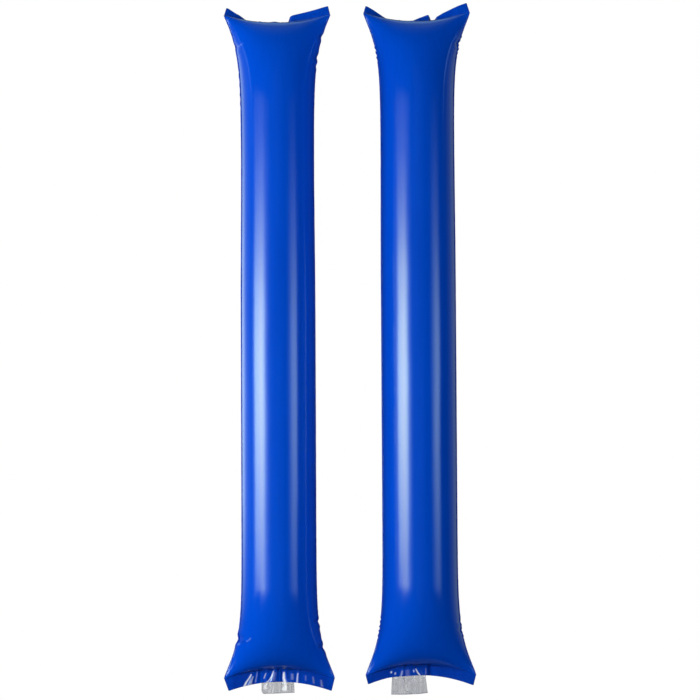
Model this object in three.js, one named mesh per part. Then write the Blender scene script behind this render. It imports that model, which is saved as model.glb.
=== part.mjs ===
// Pair of inflatable cheering sticks. Each stick is two film panels sealed along their long
// sides by a narrow trimmed seam and across both ends by a flat weld. A two-film check
// valve is welded into one end: its inner tail lies in the air chamber and its two lips stand out
// of the weld. Everything is shown inflated, lying on its back panel.
// Frame: millimetres, +Z up, +Y from the valve end to the plain end, origin on the floor under the
// centre of the pair.
import * as THREE from "three";

// ---- driving dimensions ----
const FLAT_WIDTH = 100; // lay-flat width of a stick before inflation
const BEAD = 1.1; // width of the trimmed side seam
const TUBE_RADIUS = (FLAT_WIDTH - 2 * BEAD) / Math.PI; // radius once inflated: each panel is half the girth
const PANEL_FILM = 0.1; // panel film thickness
const VALVE_FILM = 0.08; // valve film thickness
const HALF_GAP = 0.05; // half of the gap kept between the two panels in a seam
const ARC_STEPS = 13; // facets across each panel: odd, so that one lies flat on the floor
const STATIONS = [0, 1.2, 3.6, 8, 14, 22, 32, 45, 62, 84]; // distances from an end weld at which a section is cut
const SHOULDER = 70; // length over which the tube closes to its weld, along the crown
const FADE = 30; // length over which the curve of the weld dies out
const VALVE_WIDTH = 30; // both valve films
const VALVE_TAIL = 62; // length of the valve inside the chamber
const VALVE_GAP = 0.04; // half of the gap between the two valve films
const VALVE_BUMP = 0.14; // how far each panel is lifted over the valve in the weld
const HINGE_CLEAR = 0.7; // from the edge of the weld to the line about which the valve lips bend
const LIP_START = 0.3; // from that line to the root of each lip

// corner: half of the width across the corners of the weld; flare: length scale of the flare;
// bow: how far the middle of the weld is drawn in; fin: width of the weld; lean: angle at which the
// flat weld leans back, in degrees
const STICKS = [
  {
    name: "left",
    at: [-60.5, 0],
    turn: 0.2,
    near: { y: -282.6, corner: 46.2, flare: 28, bow: 8.0, fin: 11.5, lean: 0 },
    far: { y: 287.4, corner: 44.6, flare: 25, bow: 8.0, fin: 9.5, lean: 42 },
    valve: { x: -1, out: 10.5 },
  },
  {
    name: "right",
    at: [60.5, 3.6],
    turn: 0.38,
    near: { y: -283.2, corner: 46.2, flare: 28, bow: 8.8, fin: 9.2, lean: 0 },
    far: { y: 286.4, corner: 45.0, flare: 25, bow: 8.4, fin: 9.5, lean: 40 },
    valve: { x: -9, out: 16 },
  },
];

const BLUE = { color: 0x0a4cc4, roughness: 0.16, metalness: 0 };
const CLEAR = {
  color: 0xc9ced6,
  roughness: 0.12,
  metalness: 0,
  transparent: true,
  opacity: 0.45,
};

// ---- shape of an inflated stick ----
const smooth = (t) => {
  const k = Math.min(1, Math.max(0, t));
  return k * k * (3 - 2 * k);
};
// half-width of the tube at a distance d from the weld's corner
const halfWidth = (end, d) =>
  TUBE_RADIUS +
  (end.corner - TUBE_RADIUS) * Math.exp(-Math.pow(d / end.flare, 1.1));
// how much of the weld's curve is left at that distance
const bowShare = (d) => Math.exp(-d / FADE) * (1 - smooth((d - 50) / 40));
// half-thickness at the crown
function halfHeight(end, d) {
  const s = d - end.bow * (1 - bowShare(d));
  if (s >= SHOULDER) return TUBE_RADIUS;
  const t = Math.max(0, s) / SHOULDER;
  return TUBE_RADIUS * Math.sqrt(1 - (1 - t) * (1 - t));
}
// sections are round in the tube and lens-shaped near a weld
const roundness = (d) => 0.5 + 0.42 * Math.exp(-d / 22);

// lift of a panel over the valve films
function bump(stick, x, d, inFin) {
  if (!stick.valve) return 0;
  const across = Math.abs(x - stick.valve.x) - VALVE_WIDTH / 2;
  const side = 1 - smooth((across - 1) / 6);
  return VALVE_BUMP * side * (inFin ? 1 : 1 - smooth(d / 30));
}

// one row of a panel: the points of its outer face across the stick, from bead to bead
function panelRow(stick, end, sign, d, out) {
  const far = end === stick.far ? 1 : -1;
  const a = halfWidth(end, d),
    b = out > 0 || d === 0 ? 0 : halfHeight(end, d),
    e = roundness(d);
  const lean = THREE.MathUtils.degToRad(end.lean);
  const run = out * Math.cos(lean),
    drop = out * Math.sin(lean);
  const row = [];
  for (let i = -1; i <= ARC_STEPS + 1; i++) {
    const k = Math.min(ARC_STEPS, Math.max(0, i));
    const side = k === 0 ? -1 : 1;
    const u = -1 + (2 * k) / ARC_STEPS;
    const even = Math.exp(-d / 30);
    const x01 = (1 - even) * Math.sin((u * Math.PI) / 2) + even * u;
    const inSeam = k === 0 || k === ARC_STEPS;
    const x = a * x01 + (i !== k ? side * BEAD : 0);
    const z = inSeam
      ? PANEL_FILM
      : Math.max(PANEL_FILM, b * Math.pow(Math.max(0, 1 - x01 * x01), e));
    // in the weld the band runs square to the weld's own curve, and leans
    const slope = (2 * end.bow * a * x01) / (end.corner * end.corner);
    const n = Math.hypot(1, slope);
    const lift = far < 0 ? bump(stick, x, d, out > 0) : 0;
    const bow = end.bow * (1 - x01 * x01) * bowShare(d);
    row.push({
      at: new THREE.Vector3(
        x - (slope / n) * run,
        end.y - far * (d + bow) + (far * run) / n,
        sign * (z + HALF_GAP + lift) - drop,
      ),
      side: inSeam ? side : 0,
      bead: i !== k,
      weld: out > 0 ? "band" : d === 0 ? "root" : "",
      drop,
      lift,
      far,
    });
  }
  return row;
}

// the inner face of a panel: one film thickness below the outer face, and flat where the two
// panels are fused
function innerFace(rows, sign) {
  const along = new THREE.Vector3(),
    across = new THREE.Vector3();
  return rows.map((row, j) =>
    row.map((p, i) => {
      const flat = sign * (HALF_GAP + p.lift) - p.drop;
      const q = p.at.clone();
      if (p.bead || p.side || p.weld) {
        q.z = flat;
        if (!p.bead && p.side && !p.weld) q.x -= p.side * PANEL_FILM;
        if (!p.side && p.weld === "root") q.y -= p.far * PANEL_FILM;
        return q;
      }
      along.subVectors(rows[j + 1][i].at, rows[j - 1][i].at);
      across.subVectors(row[i + 1].at, row[i - 1].at);
      q.addScaledVector(across.cross(along).normalize(), -sign * PANEL_FILM);
      if (sign * (q.z - flat) < 0) q.z = flat;
      return q;
    }),
  );
}

// closed shell from matching grids of outer and inner points
function shell(outer, inner, flip) {
  const m = outer.length,
    n = outer[0].length,
    pos = [],
    index = [];
  for (const grid of [outer, inner])
    for (const row of grid) for (const p of row) pos.push(p.x, p.y, p.z);
  const o = (j, i) => j * n + i,
    q = (j, i) => m * n + j * n + i;
  const tri = (a, b, c) => (flip ? index.push(a, c, b) : index.push(a, b, c));
  // both faces of a cell are cut along the same diagonal, so that the film keeps its thickness
  for (let j = 0; j + 1 < m; j++)
    for (let i = 0; i + 1 < n; i++) {
      tri(o(j, i), o(j, i + 1), o(j + 1, i + 1));
      tri(o(j, i), o(j + 1, i + 1), o(j + 1, i));
      tri(q(j, i), q(j + 1, i + 1), q(j, i + 1));
      tri(q(j, i), q(j + 1, i), q(j + 1, i + 1));
    }
  const edge = (j0, i0, j1, i1) => {
    tri(o(j0, i0), q(j0, i0), q(j1, i1));
    tri(o(j0, i0), q(j1, i1), o(j1, i1));
  };
  for (let i = 0; i + 1 < n; i++) {
    edge(0, i, 0, i + 1);
    edge(m - 1, i + 1, m - 1, i);
  }
  for (let j = 0; j + 1 < m; j++) {
    edge(j + 1, 0, j, 0);
    edge(j, n - 1, j + 1, n - 1);
  }
  const g = new THREE.BufferGeometry();
  g.setAttribute("position", new THREE.Float32BufferAttribute(pos, 3));
  g.setIndex(index);
  g.computeVertexNormals();
  return g;
}

function panel(stick, sign) {
  const rows = [];
  for (const out of [stick.near.fin, stick.near.fin / 2])
    rows.push(panelRow(stick, stick.near, sign, 0, out));
  for (const d of STATIONS) rows.push(panelRow(stick, stick.near, sign, d, 0));
  for (const d of [...STATIONS].reverse())
    rows.push(panelRow(stick, stick.far, sign, d, 0));
  for (const out of [stick.far.fin / 2, stick.far.fin])
    rows.push(panelRow(stick, stick.far, sign, 0, out));
  const outer = rows.map((row) => row.map((p) => p.at));
  return shell(outer, innerFace(rows, sign), sign < 0);
}

// y of the outer edge of the valve-end weld at a given x
function weldEdge(stick, x) {
  const end = stick.near;
  const slope = (2 * end.bow * x) / (end.corner * end.corner);
  const bow = end.bow * (1 - (x / end.corner) ** 2);
  return end.y + bow - end.fin / Math.hypot(1, slope);
}
// the straight line, just outside the weld, about which the lips bend
function hingeY(stick) {
  const xs = [-1, -0.5, 0, 0.5, 1].map(
    (k) => stick.valve.x + (k * VALVE_WIDTH) / 2,
  );
  return Math.min(...xs.map((x) => weldEdge(stick, x))) - HINGE_CLEAR;
}

function film(x0, x1, y0, y1, z0, z1) {
  const g = new THREE.BoxGeometry(x1 - x0, y1 - y0, z1 - z0);
  g.translate((x0 + x1) / 2, (y0 + y1) / 2, (z0 + z1) / 2);
  return g;
}

const pair = new THREE.Group();
pair.name = "cheering_sticks";
for (const stick of STICKS) {
  const body = new THREE.Group();
  const add = (name, geometry, look) => {
    const mesh = new THREE.Mesh(
      geometry,
      new THREE.MeshStandardMaterial({ ...look, side: THREE.DoubleSide }),
    );
    mesh.name = stick.name + "_" + name;
    body.add(mesh);
  };
  add("front_panel", panel(stick, 1), BLUE);
  add("back_panel", panel(stick, -1), BLUE);
  const x0 = stick.valve.x - VALVE_WIDTH / 2,
    x1 = stick.valve.x + VALVE_WIDTH / 2;
  const hinge = hingeY(stick);
  const weld = stick.near.y + stick.near.bow;
  for (const [face, sign] of [
    ["front", 1],
    ["back", -1],
  ]) {
    const z = [sign * VALVE_GAP, sign * (VALVE_GAP + VALVE_FILM)].sort(
      (p, q) => p - q,
    );
    add(
      "valve_" + face + "_tail",
      film(x0, x1, hinge + LIP_START, weld + VALVE_TAIL, z[0], z[1]),
      CLEAR,
    );
    add(
      "valve_" + face + "_lip",
      film(x0, x1, hinge - stick.valve.out, hinge - LIP_START, z[0], z[1]),
      CLEAR,
    );
  }
  body.position.set(stick.at[0], stick.at[1], 0);
  body.rotation.z = THREE.MathUtils.degToRad(stick.turn);
  body.userData = { hinge, valve: stick.valve, turn: stick.turn };
  body.name = stick.name + "_stick";
  pair.add(body);
}

// the origin goes to the floor, under the centre of the pair
pair.updateMatrixWorld(true);
const box = new THREE.Box3().setFromObject(pair, true);
pair.position.set(
  -(box.min.x + box.max.x) / 2,
  -(box.min.y + box.max.y) / 2,
  -box.min.z,
);

export default pair;
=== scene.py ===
"""Pair of inflatable cheering sticks: the looks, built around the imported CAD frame."""
import math

import bpy
import numpy as np
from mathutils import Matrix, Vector


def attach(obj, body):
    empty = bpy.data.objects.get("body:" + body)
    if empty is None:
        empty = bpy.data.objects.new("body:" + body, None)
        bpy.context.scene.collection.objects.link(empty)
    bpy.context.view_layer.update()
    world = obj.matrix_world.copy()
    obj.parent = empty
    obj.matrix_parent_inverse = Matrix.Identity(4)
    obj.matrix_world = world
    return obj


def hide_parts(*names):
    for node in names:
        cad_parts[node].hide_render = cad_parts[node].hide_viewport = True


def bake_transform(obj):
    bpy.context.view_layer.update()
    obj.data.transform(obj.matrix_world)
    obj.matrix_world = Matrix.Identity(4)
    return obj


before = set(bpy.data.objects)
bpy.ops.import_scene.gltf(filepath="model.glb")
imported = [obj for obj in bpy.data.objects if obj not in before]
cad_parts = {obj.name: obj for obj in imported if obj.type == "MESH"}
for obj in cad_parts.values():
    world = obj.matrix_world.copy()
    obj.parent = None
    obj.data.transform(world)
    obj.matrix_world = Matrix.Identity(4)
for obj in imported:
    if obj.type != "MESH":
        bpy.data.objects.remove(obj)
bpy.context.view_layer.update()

# ------------------------------------------------------------------ sizes, in millimetres
FLAT_WIDTH = 100.0
BEAD = 1.1
R = (FLAT_WIDTH - 2 * BEAD) / math.pi
FILM = 0.1
VALVE_FILM = 0.09
GAP = 0.05  # half of the gap kept between fused films
SHOULDER = 70.0
FADE = 30.0
VALVE_WIDTH = 30.0

STICKS = {
    "left": dict(
        at=(-61.737, 0.976, 30.96),
        turn=0.25,
        near=dict(y=-283.1, corner=46.4, flare=27.5, power=1.3, bow=8.1, fin=11.2, far=-1, cut=(1.0, 0.7), slim=0.0),
        far=dict(y=287.4, corner=44.9, flare=26.8, power=1.15, bow=6.2, fin=9.8, far=1, cut=(1.0, 0.8), slim=0.0),
        valve=dict(x=-1.0, out=8.7, w=(-15.4, 12.6)),
        taper=(-0.72, 20.0, 150.0, 0.0),
        seed=3,
    ),
    "right": dict(
        at=(59.12, 4.576, 30.96),
        turn=0.34,
        near=dict(y=-283.9, corner=46.3, flare=28.3, power=1.25, bow=8.85, fin=9.2, far=-1, cut=(0.65, 0.65), slim=1.4),
        far=dict(y=285.9, corner=44.9, flare=26.6, power=1.28, bow=7.0, fin=9.7, far=1, cut=(0.9, 0.9), slim=0.0),
        valve=dict(x=-9.0, out=14.3, w=(-24.8, 4.2)),
        taper=(-0.45, 60.0, 130.0, 0.12),
        seed=11,
    ),
}

# pleats of the welds at the valve end: x at the weld's inner line, x at its outer edge, height and
# half-width, all in mm from the stick's axis
STICKS["left"]["pleats"] = [
    (-22.4, -27.6, 1.10, 2.0),
    (-18.4, -20.6, 0.45, 1.0),
    (-16.6, -17.6, -0.45, 1.2),
    (-10.6, -12.0, 0.50, 1.3),
    (-3.4, -7.0, 1.20, 2.1),
    (-0.8, -1.2, -0.40, 0.8),
    (1.9, 2.0, -0.60, 1.0),
    (5.8, 7.4, 1.35, 2.1),
    (11.1, 11.3, 0.45, 1.3),
    (13.8, 14.0, -0.35, 1.0),
    (17.2, 16.8, 0.85, 1.5),
    (22.8, 22.8, 0.30, 1.5),
    (29.5, 30.3, 0.50, 1.6),
    (36.3, 37.2, 0.45, 1.8),
]
STICKS["right"]["pleats"] = [
    (-24.4, -24.9, 0.45, 1.1),
    (-21.0, -21.8, 0.35, 1.1),
    (-15.4, -16.4, 0.85, 1.5),
    (-11.6, -11.6, 0.30, 1.6),
    (-8.4, -6.6, -0.35, 1.2),
    (-5.2, -4.8, 0.45, 1.0),
    (-2.6, 0.9, 0.85, 1.3),
    (4.5, 4.6, 0.35, 1.1),
    (7.4, 7.6, -0.85, 1.3),
    (14.0, 16.0, 0.20, 3.0),
    (27.0, 29.0, 0.18, 3.0),
]
# puckers at the far weld: x, depth, half-width, in mm
STICKS["left"]["puckers"] = [(-18.0, 0.7, 1.2), (-15.0, -0.4, 1.4), (-2.2, -0.9, 2.2), (4.6, 0.9, 1.1), (9.2, 0.7, 1.0), (20.0, 0.3, 2.0)]
STICKS["right"]["puckers"] = [(-20.5, 0.6, 1.3), (-14.6, 0.9, 1.2), (-10.0, 0.5, 1.0), (-3.0, -0.5, 2.0), (12.4, 0.9, 1.1), (24.0, 0.3, 2.2)]
# fold of the far weld: x, distance out of the fold line, then degrees back from flat beyond the fold
# and before it; the weld stands behind the tube up to the fold and lies back as a flap beyond it
STICKS["left"]["fold"] = [
    (-50, 1.8, 25, 75), (-44, 2.2, 25, 85), (-37, 4.7, 25, 88), (-33, 6.0, 25, 88), (-26, 9.4, 30, 90), (-22, 11, 40, 94),
    (-12, 12, 45, 97), (-3, 12, 45, 92), (2, 12, 45, 95), (7.5, 12, 45, 97), (9.5, 9.3, 30, 90), (11.5, 4.3, 25, 86),
    (14, 3.1, 25, 86), (18, 2.5, 25, 86), (24, 2.0, 25, 84), (32, 1.4, 25, 80), (41, 0.9, 24, 75), (50, 0.8, 24, 75),
]
STICKS["right"]["fold"] = [
    (-50, 2.3, 25, 80), (-44, 2.4, 25, 85), (-38, 4.0, 25, 88), (-31, 6.9, 25, 88), (-24, 9.6, 35, 90), (-18, 12, 44, 96),
    (-12, 12, 45, 97), (-7, 10.1, 35, 92), (-2, 7.8, 25, 90), (2, 6.1, 25, 90), (6, 4.8, 25, 90), (9, 3.8, 25, 90),
    (10.8, 3.6, 25, 90), (12.2, 7.0, 30, 92), (13.4, 11, 45, 94), (15, 9.5, 35, 90), (18, 6.1, 25, 90), (24, 3.7, 25, 88),
    (31, 2.0, 24, 84), (38, 0.7, 22, 70), (45, 0.0, 20, 30), (50, 0.0, 18, 25),
]

# buckles of the side seams: end, side, distance from the weld's corner, step, half-length, reach
STICKS["left"]["buckles"] = [
    ("near", -1, 33.5, 1.0, 2.6, 9.0),
    ("near", 1, 26.0, 0.85, 2.0, 5.0),
    ("near", 1, 48.5, 0.8, 1.8, 4.0),
    ("far", -1, 27.0, 0.35, 2.4, 6.0),
    ("far", 1, 19.0, 0.75, 2.2, 3.5),
    ("far", 1, 36.5, 0.7, 2.2, 4.0),
    ("far", 1, 44.0, 0.45, 1.8, 3.0),
]
STICKS["right"]["buckles"] = [
    ("far", 1, 26.5, 0.7, 2.4, 3.5),
    ("near", 1, 46.0, 0.35, 1.6, 3.0),
    ("near", 1, 38.0, 0.45, 1.8, 3.0),
]
# runs of small ripples in the side seams: end, side, from, to, wave length, height, slant
STICKS["left"]["ripples"] = [
    ("far", -1, 45.0, 85.0, 7.8, 0.135, 0.5),
    ("near", 1, 20.0, 60.0, 6.5, 0.108, 0.4),
]
STICKS["right"]["ripples"] = [
    ("near", -1, 29.0, 52.0, 3.9, 0.405, 0.2),
    ("near", 1, 28.0, 50.0, 3.4, 0.27, 0.7),
    ("far", 1, 16.0, 40.0, 3.6, 0.324, 0.9),
    ("far", -1, 26.0, 44.0, 4.4, 0.351, 0.2),
]

# painted glints and shades along the creases of the valve-end weld: strength (above 0 a pale painted highlight, below 0
# painted shade in the fold, where the film also lies doubled over), then points of x, distance out from the weld's
# inner line, half-width, in mm
STICKS["left"]["marks"] = [
    (1.0, [(-24.3, 2.7, 0.45), (-25.9, 5.1, 0.60), (-28.5, 8.2, 0.85), (-30.2, 11.4, 1.0)]),
    (0.5, [(-22.6, 4.7, 0.4), (-23.9, 7.8, 0.6), (-24.6, 11.4, 0.8)]),
    (0.25, [(-18.7, 1.0, 0.5), (-19.6, 5.1, 0.5), (-20.7, 9.6, 0.5)]),
    (-0.5, [(-17.6, 0.5, 0.8), (-18.0, 8.0, 0.9)]),
    (0.55, [(-11.6, 3.4, 0.4), (-12.4, 5.2, 0.55), (-13.2, 7.4, 0.5)]),
    (0.85, [(-5.2, 1.9, 0.4), (-6.5, 6.0, 0.5), (-8.8, 9.3, 0.65), (-11.8, 12.0, 1.0)]),
    (-0.4, [(-7.8, 4.0, 0.6), (-10.5, 9.0, 0.7)]),
    (0.14, [(-4.0, 3.0, 1.3), (-5.5, 10.0, 1.6)]),
    (-0.6, [(-0.9, 1.0, 0.7), (-1.2, 12.0, 0.8)]),
    (-0.65, [(1.7, 1.0, 0.8), (1.9, 12.0, 0.8)]),
    (1.0, [(3.9, 3.0, 0.7), (3.7, 5.5, 1.1), (3.6, 7.8, 1.25), (4.9, 11.8, 1.4)]),
    (-0.5, [(6.6, 1.5, 0.7), (7.4, 8.0, 0.6)]),
    (0.2, [(11.1, 4.0, 1.2), (11.1, 8.7, 1.2)]),
    (-0.35, [(13.8, 2.0, 0.8), (13.9, 11.0, 0.8)]),
    (0.6, [(15.8, 3.1, 0.5), (15.3, 7.0, 0.65), (15.1, 11.2, 0.75)]),
    (0.14, [(22.4, 4.0, 0.6), (22.5, 8.0, 0.6)]),
    (0.2, [(28.8, 4.0, 0.6), (29.5, 9.0, 0.7)]),
    (0.22, [(35.7, 5.0, 0.6), (36.4, 10.0, 0.9)]),
    (-0.4, [(-8.5, -2.5, 1.6), (-8.5, 1.0, 1.6)]),
    (-0.5, [(4.6, -3.5, 1.2), (4.6, 1.0, 1.6)]),
    (-0.4, [(10.2, -1.0, 1.2), (10.2, 1.2, 1.2)]),
    (-0.3, [(-16.5, -2.0, 1.4), (-17.0, 1.0, 1.6)]),
]
# painted highlights (above 0) and painted fold shade (below 0) on the valve films, in the same form
STICKS["left"]["tab_marks"] = [
    (1.0, [(-11.8, 12.0, 1.3), (-13.8, 14.5, 2.0), (-13.2, 16.8, 2.4)]),
    (0.8, [(-5.6, 11.7, 0.5), (-5.9, 16.0, 0.6), (-6.5, 20.4, 0.8)]),
    (1.0, [(4.9, 11.6, 1.4), (5.7, 14.5, 2.1), (4.6, 18.4, 2.7)]),
    (-0.5, [(2.2, 12.5, 0.5), (2.6, 20.0, 0.5)]),
    (-0.5, [(7.2, 13.6, 0.8), (7.2, 14.6, 0.8)]),
    (-0.4, [(11.6, 12.0, 0.4), (11.8, 20.0, 0.4)]),
    (-0.25, [(-9.0, 14.5, 0.4), (-9.2, 21.0, 0.4)]),
]
STICKS["right"]["marks"] = [
    (1.0, [(-25.4, 3.6, 0.6), (-25.4, 4.8, 0.6)]),
    (0.5, [(-22.0, 5.2, 0.6), (-22.0, 6.8, 0.6)]),
    (0.3, [(-16.0, 4.4, 0.7), (-17.0, 9.2, 1.0)]),
    (-0.5, [(-15.6, 8.2, 0.6), (-15.6, 9.4, 0.6)]),
    (0.6, [(-6.2, 4.6, 0.5), (-6.0, 6.0, 0.5)]),
    (0.9, [(-4.4, 3.4, 0.4), (-3.0, 6.3, 0.75), (-0.6, 9.4, 0.7)]),
    (0.14, [(4.3, 3.0, 0.4), (4.3, 8.5, 0.5)]),
    (-0.75, [(7.2, -1.2, 1.4), (7.6, 9.4, 1.6)]),
    (-0.5, [(-13.2, -2.0, 1.0), (-13.6, 2.5, 1.4)]),
    (-0.5, [(-3.0, -1.5, 2.2), (-5.0, 3.0, 4.0)]),
    (0.10, [(-11.5, 4.0, 1.8), (-11.5, 9.2, 1.8)]),
]
STICKS["right"]["tab_marks"] = [
    (1.0, [(-22.5, 9.4, 2.4), (-22.5, 10.8, 2.6)]),
    (1.0, [(2.2, 9.0, 1.8), (2.6, 10.6, 1.6)]),
    (0.5, [(-16.6, 11.0, 1.1), (-15.4, 16.0, 1.3), (-13.4, 22.0, 1.7)]),
    (0.42, [(-8.2, 12.0, 0.9), (-6.6, 17.0, 1.0), (-5.0, 24.0, 1.2)]),
    (0.28, [(-11.6, 12.0, 1.2), (-11.0, 24.0, 1.3)]),
    (-0.3, [(-9.8, 12.0, 0.5), (-8.6, 22.0, 0.5)]),
    (-0.25, [(-18.6, 12.0, 0.4), (-18.2, 20.0, 0.4)]),
]


# painted highlights on creases by the far weld, in the same form, with the distance in from the weld negative
STICKS["left"]["far_marks"] = [
    (0.35, [(-33.8, -24.6, 0.6), (-31.6, -23.6, 0.9), (-29.4, -22.4, 0.7)]),
    (0.22, [(-34.2, -15.5, 0.7), (-33.0, -17.5, 0.8), (-33.4, -20.0, 0.6)]),
    (0.16, [(5.2, -2.4, 1.0), (5.6, -0.6, 1.0)]),
]
STICKS["right"]["far_marks"] = [
    (0.16, [(33.6, -24.0, 0.8), (32.0, -27.0, 0.8), (31.6, -30.0, 0.7)]),
]
# painted highlights on the crescents round the dent beside the left stick's near seam, with painted shade between them
STICKS["left"]["marks"] += [
    (0.40, [(-34.6, -26.8, 0.9), (-34.4, -25.8, 0.9)]),
    (0.28, [(-24.4, -30.2, 0.8), (-25.2, -29.0, 1.1), (-27.6, -28.0, 1.0)]),
    (-0.35, [(-31.0, -28.4, 1.6), (-30.2, -26.8, 1.6)]),
]
# how deep the colour of the doubled film is along the valve-end weld: x, share
STICKS["left"]["deep"] = ([-47, -43, -38, -24, -18, 12, 20, 30, 40, 47], [0.35, 0.5, 0.9, 0.8, 0.25, 0.2, 0.4, 0.75, 0.8, 0.2])
STICKS["right"]["deep"] = ([-47, -42, -28, -20, -14, -4, 6, 12, 24, 34, 47], [0.7, 0.8, 1.0, 0.45, 0.35, 0.5, 0.75, 0.6, 0.7, 0.5, 0.35])


def smooth(t):
    k = np.clip(t, 0, 1)
    return k * k * (3 - 2 * k)


def value_noise(x, seed, scale):
    """Smooth noise in one dimension, from -1 to 1."""
    rng = np.random.default_rng(seed)
    knots = rng.uniform(-1, 1, 4096)
    t = np.asarray(x, float) / scale + 1000.0
    i = np.floor(t).astype(int)
    f = t - i
    f = f * f * (3 - 2 * f)
    return knots[i % 4096] * (1 - f) + knots[(i + 1) % 4096] * f


def noise2(x, y, seed, sx, sy):
    rng = np.random.default_rng(seed)
    grid = rng.uniform(-1, 1, (256, 256))
    u, v = np.asarray(x, float) / sx + 100, np.asarray(y, float) / sy + 100
    i, j = np.floor(u).astype(int), np.floor(v).astype(int)
    f, g = u - i, v - j
    f, g = f * f * (3 - 2 * f), g * g * (3 - 2 * g)
    a = grid[i % 256, j % 256] * (1 - f) + grid[(i + 1) % 256, j % 256] * f
    b = grid[i % 256, (j + 1) % 256] * (1 - f) + grid[(i + 1) % 256, (j + 1) % 256] * f
    return a * (1 - g) + b * g


def half_width(st, end, d):
    y = end["y"] - end["far"] * d
    slim, y0, span, mid = st["taper"]
    tube = R + slim * smooth((y - y0) / span) + mid * np.exp(-((y + 40) / 160.0) ** 2)
    return tube + (end["corner"] - tube) * np.exp(-((np.maximum(d, 0) / end["flare"]) ** end["power"]))


def bow_share(d):
    return np.exp(-d / FADE) * (1 - smooth((d - 50) / 40))


def crown_run(end, d):
    return d - end["bow"] * (1 - bow_share(d))


def half_height(end, d):
    t = np.clip(crown_run(end, d) / SHOULDER, 0, 1)
    return R * np.sqrt(np.maximum(0, 1 - (1 - t) ** 2))


def roundness(d):
    return 0.5 + 0.42 * np.exp(-d / 22.0)


def end_stations():
    """Distances from a weld's corner at which the film is cut, close together near the weld."""
    s = [70 * (1 - math.cos(a)) for a in np.radians(np.arange(0, 36, 2.0))]
    d = list(np.interp(s, [crown_run(dict(bow=8.4), x) for x in np.linspace(0, 60, 600)], np.linspace(0, 60, 600)))
    step = 1.15
    while d[-1] < 96:
        d.append(d[-1] + step)
    while d[-1] < 118:
        d.append(d[-1] + 3.5)
    return np.array(d)


NC = 176
FIN_ROWS = {"near": 24, "far": 12}
END_D = end_stations()


def grid_rows(st):
    """Each row of a panel: (end, distance from the corner, distance out in the weld)."""
    rows = []
    near, far = st["near"], st["far"]
    n = FIN_ROWS["near"]
    for k in range(n, 0, -1):
        rows.append((near, 0.0, near["fin"] * k / n))
    rows += [(near, d, 0.0) for d in END_D]
    y0, y1 = near["y"] + END_D[-1], far["y"] - END_D[-1]
    n = 48
    for k in range(1, n):
        y = y0 + (y1 - y0) * k / n
        rows.append((near, y - near["y"], 0.0) if y < 0 else (far, far["y"] - y, 0.0))
    rows += [(far, d, 0.0) for d in END_D[::-1]]
    n = FIN_ROWS["far"]
    for k in range(1, n + 1):
        rows.append((far, 0.0, far["fin"] * k / n))
    return rows


def pleat_field(st, x, v):
    """Height of the pleats of the valve-end weld; v runs out from the weld's inner line and is negative inside the chamber."""
    fin = st["near"]["fin"]
    k = np.clip(v / fin, 0, 1.6)
    z = np.zeros(np.broadcast(x, v).shape)
    for x0, x1, a, w in st["pleats"]:
        c = x0 + (x1 - x0) * (k * 0.55 + k * k * 0.45)
        ww = w * (0.75 + 0.35 * k)
        q = (x - c) / ww
        # a steeper left flank, as a fold that has been pushed over
        z = z + a * np.where(q < 0, np.exp(-(q * 1.15) ** 2), np.exp(-(q * 0.85) ** 2))
    mean = sum(a * w for _, _, a, w in st["pleats"]) * 1.77 / 74.0
    inside = np.exp(np.minimum(v, 0) / 6.0)
    env = (0.42 + 0.58 * smooth(k / 1.0)) * inside
    span = np.exp(-((x / 44.0) ** 6))
    return (z - mean * 0.7) * env * span


def weld_run(end, x):
    """Slant of the weld band's run at x, its length, and the band's width there as a share of the full one."""
    xs = np.clip(x / end["corner"], -1.03, 1.03)
    cut = end["cut"][0] + (end["cut"][1] - end["cut"][0]) * (xs + 1) / 2
    slope = 2 * end["bow"] * xs / end["corner"] * cut
    return slope, np.hypot(1, slope), 1 - end["slim"] / end["fin"] * smooth((-xs - 0.2) / 0.5)


def weld_lift(st, x, out):
    """Height of the middle of the valve-end weld above the stick's mid-plane."""
    end = st["near"]
    xs = np.clip(x / end["corner"], -1, 1)
    z = pleat_field(st, x, out) - 0.05 * out * (1 - xs ** 2) - (np.abs(xs) ** 6) * 0.10 * out
    return z + 0.10 * noise2(x, out, st["seed"] + 7, 7.0, 5.0) * smooth(np.asarray(out) / 2.0)


def far_fold(st, x, out):
    """How far back and how far down the far weld has come at a distance out along it."""
    fx, line, flap, steep = (np.array([p[k] for p in st["fold"]], float) for k in range(4))
    s = np.linspace(0, out, 25)[:, None]
    k = smooth((s - np.interp(x, fx, line)) / 1.6 + 0.5)
    a = np.interp(x, fx, steep) * (1 - k) + np.interp(x, fx, flap) * k
    a = np.radians(a) * smooth(s / 1.2 + 0.45)
    h = out / 24.0
    return h * (np.cos(a[1:]) + np.cos(a[:-1])).sum(0) / 2, h * (np.sin(a[1:]) + np.sin(a[:-1])).sum(0) / 2


def weld_place(st, x, y):
    """x on the weld's inner line, and distance out along the slanted weld, of a point at x, y."""
    xr = np.array(x, float)
    for _ in range(5):
        slope, n, width = weld_run(st["near"], xr)
        run = (weld_root(st, xr) - y) * n
        xr = x + (slope / n) * np.maximum(run, 0)
    return xr, run / width


def painted_glint_shade_field(marks, x, v):
    m = np.zeros(np.broadcast(x, v).shape)
    v = np.broadcast_to(v, m.shape)
    for power, pts in marks:
        px, pv, pw = (np.array([p[k] for p in pts], float) for k in (0, 1, 2))
        c = np.interp(v, pv, px)
        w = np.interp(v, pv, pw)
        ends = smooth((v - pv[0] + 0.7) / 0.9) * (1 - smooth((v - pv[-1] + 0.2) / 0.9))
        m = m + power * ends * np.exp(-(np.abs((x - c) / w) ** 2.4))
    return np.clip(m, -1, 1)


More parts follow.
